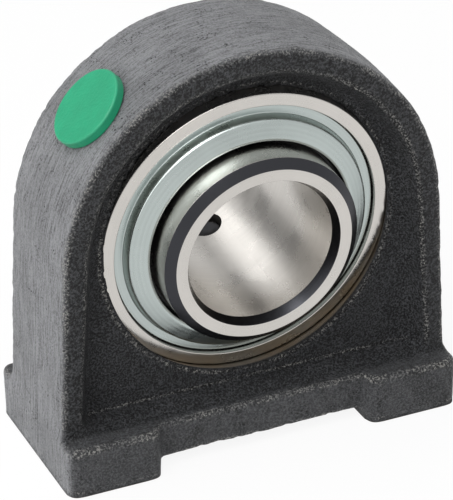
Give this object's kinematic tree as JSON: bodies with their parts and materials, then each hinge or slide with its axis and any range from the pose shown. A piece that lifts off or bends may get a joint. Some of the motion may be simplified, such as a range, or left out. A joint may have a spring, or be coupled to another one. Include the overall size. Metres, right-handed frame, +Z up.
{
  "type": "short base bearing housing unit",
  "caption": "Short base arched housing with an insert ball bearing for a 25 mm shaft, threaded from below and free to swivel in its seat.",
  "frame": {"origin": "centre of the bearing, on the shaft line and midway through the outer ring", "axes": "+X along the base, +Y along the shaft line towards the long side of the inner ring with its set screws, +Z up, away from the base"},
  "size_m": [0.0704, 0.0368, 0.0698],
  "materials": {
    "cast_housing": "dark paint over sand cast grain",
    "green_plastic": "smooth moulded",
    "bearing_steel": "ground, with darkened unground chamfers",
    "polished_ball_steel": "polished",
    "cage_nylon": "moulded",
    "blackened_screw": "black oxide",
    "seal_rubber": "matt",
    "zinc_plated_steel": "zinc plate"
  },
  "bodies": {
    "housing": {"housing": "cast_housing"},
    "insert": {"outer_ring": "bearing_steel", "front_seal_backing_washer": "zinc_plated_steel", "front_seal_lip": "seal_rubber", "front_seal_shell": "zinc_plated_steel", "rear_seal_backing_washer": "zinc_plated_steel", "rear_seal_lip": "seal_rubber", "rear_seal_shell": "zinc_plated_steel"},
    "shaft_ring": {"inner_ring": "bearing_steel"},
    "cage": {"ball_cage": "cage_nylon"},
    "ball_1": {"ball_1": "polished_ball_steel"},
    "ball_2": {"ball_2": "polished_ball_steel"},
    "ball_3": {"ball_3": "polished_ball_steel"},
    "ball_4": {"ball_4": "polished_ball_steel"},
    "ball_5": {"ball_5": "polished_ball_steel"},
    "ball_6": {"ball_6": "polished_ball_steel"},
    "ball_7": {"ball_7": "polished_ball_steel"},
    "ball_8": {"ball_8": "polished_ball_steel"},
    "ball_9": {"ball_9": "polished_ball_steel"},
    "screw_1": {"set_screw_1": "blackened_screw"},
    "screw_2": {"set_screw_2": "blackened_screw"},
    "plug": {"grease_plug": "green_plastic"}
  },
  "joints": [
    {"name": "bearing_swivel", "type": "hinge", "parent": "housing", "child": "insert", "pos_m": [0, 0, 0], "axis": [1, 0, 0], "range_deg": [-13.2, 2.8]},
    {"name": "inner_spin", "type": "hinge", "parent": "insert", "child": "shaft_ring", "pos_m": [0, 0, 0], "axis": [0, 0.9959, 0.0906], "continuous": true},
    {"name": "cage_orbit", "type": "hinge", "parent": "insert", "child": "cage", "pos_m": [0, 0, 0], "axis": [0, 0.9959, 0.0906], "continuous": true},
    {"name": "ball_spin_1", "type": "hinge", "parent": "cage", "child": "ball_1", "pos_m": [0.01925, 0, 0], "axis": [0, 0.9959, 0.0906], "continuous": true},
    {"name": "ball_spin_2", "type": "hinge", "parent": "cage", "child": "ball_2", "pos_m": [0.01475, 0.00112, -0.01232], "axis": [0, 0.9959, 0.0906], "continuous": true},
    {"name": "ball_spin_3", "type": "hinge", "parent": "cage", "child": "ball_3", "pos_m": [0.00334, 0.00172, -0.01888], "axis": [0, 0.9959, 0.0906], "continuous": true},
    {"name": "ball_spin_4", "type": "hinge", "parent": "cage", "child": "ball_4", "pos_m": [-0.00962, 0.00151, -0.0166], "axis": [0, 0.9959, 0.0906], "continuous": true},
    {"name": "ball_spin_5", "type": "hinge", "parent": "cage", "child": "ball_5", "pos_m": [-0.01809, 0.0006, -0.00656], "axis": [0, 0.9959, 0.0906], "continuous": true},
    {"name": "ball_spin_6", "type": "hinge", "parent": "cage", "child": "ball_6", "pos_m": [-0.01809, -0.0006, 0.00656], "axis": [0, 0.9959, 0.0906], "continuous": true},
    {"name": "ball_spin_7", "type": "hinge", "parent": "cage", "child": "ball_7", "pos_m": [-0.00962, -0.00151, 0.0166], "axis": [0, 0.9959, 0.0906], "continuous": true},
    {"name": "ball_spin_8", "type": "hinge", "parent": "cage", "child": "ball_8", "pos_m": [0.00334, -0.00172, 0.01888], "axis": [0, 0.9959, 0.0906], "continuous": true},
    {"name": "ball_spin_9", "type": "hinge", "parent": "cage", "child": "ball_9", "pos_m": [0.01475, -0.00112, 0.01232], "axis": [0, 0.9959, 0.0906], "continuous": true},
    {"name": "set_screw_travel_1", "type": "slide", "parent": "shaft_ring", "child": "screw_1", "axis": [0.2079, 0.0887, -0.9741], "range_m": [-0.001, 0.003]},
    {"name": "set_screw_travel_2", "type": "slide", "parent": "shaft_ring", "child": "screw_2", "axis": [0.7431, -0.0606, 0.6664], "range_m": [-0.001, 0.003]},
    {"name": "plug_pull", "type": "slide", "parent": "housing", "child": "plug", "axis": [-0.7133, 0, 0.7009], "range_m": [0, 0.012]}
  ],
  "couplings": [
    {"joint": "cage_orbit", "follows": "inner_spin", "ratio": 0.39691},
    {"joint": "ball_spin_1", "follows": "inner_spin", "ratio": -2.322},
    {"joint": "ball_spin_2", "follows": "inner_spin", "ratio": -2.322},
    {"joint": "ball_spin_3", "follows": "inner_spin", "ratio": -2.322},
    {"joint": "ball_spin_4", "follows": "inner_spin", "ratio": -2.322},
    {"joint": "ball_spin_5", "follows": "inner_spin", "ratio": -2.322},
    {"joint": "ball_spin_6", "follows": "inner_spin", "ratio": -2.322},
    {"joint": "ball_spin_7", "follows": "inner_spin", "ratio": -2.322},
    {"joint": "ball_spin_8", "follows": "inner_spin", "ratio": -2.322},
    {"joint": "ball_spin_9", "follows": "inner_spin", "ratio": -2.322}
  ]
}
